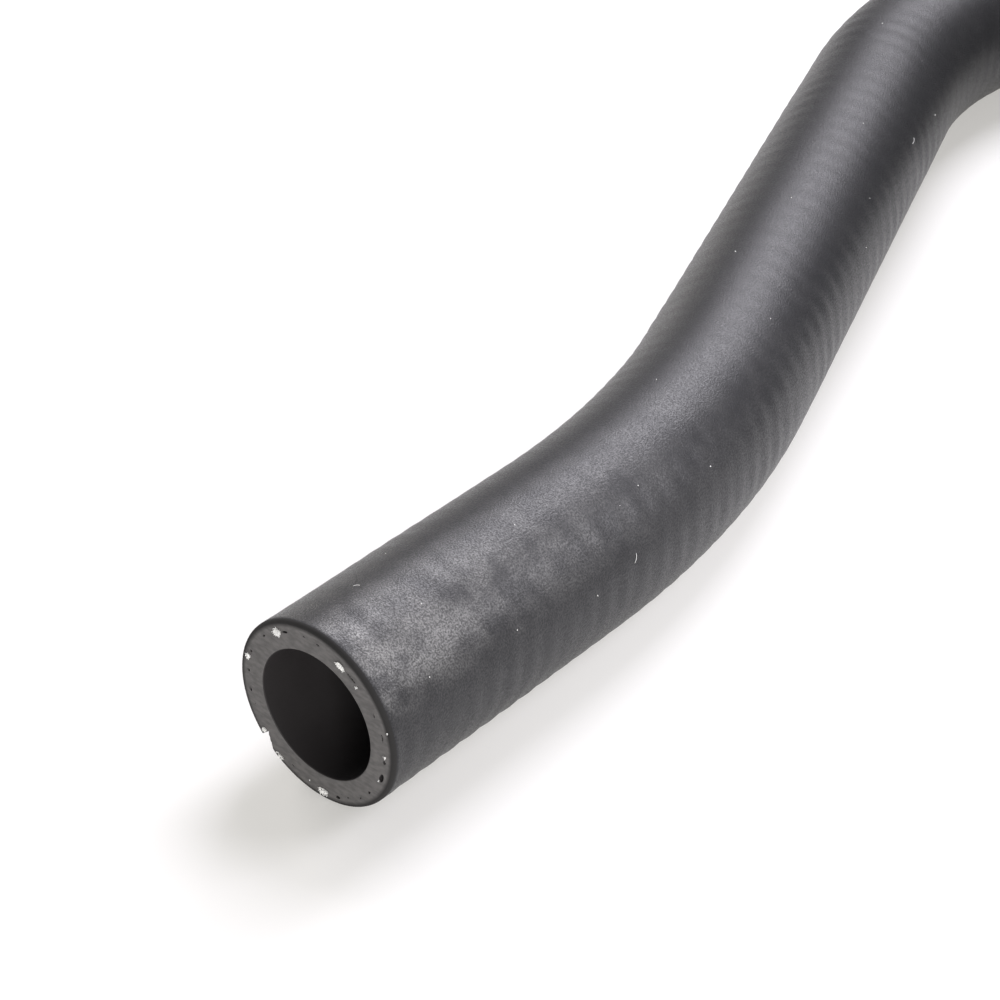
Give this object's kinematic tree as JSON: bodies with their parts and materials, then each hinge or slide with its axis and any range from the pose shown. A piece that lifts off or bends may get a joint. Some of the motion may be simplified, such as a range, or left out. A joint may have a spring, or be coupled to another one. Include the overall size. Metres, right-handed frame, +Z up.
{
  "type": "moulded heater hose",
  "caption": "Moulded black rubber heater hose with a gentle bend, a tight bend and two square-cut open ends, lying flat.",
  "frame": {"origin": "on the ground, at the middle of the hose's box", "axes": "+X from the near cut along the hose's first straight, +Z up; the far end points towards -Y"},
  "size_m": [0.2704, 0.1754, 0.023],
  "materials": {
    "rubber": "satin black EPDM rubber with a fine grain and the faint slanted ribs of the knit beneath; the cut faces are dull dark grey, with white yarn tips"
  },
  "bodies": {
    "root": {"hose": "rubber"}
  },
  "joints": []
}
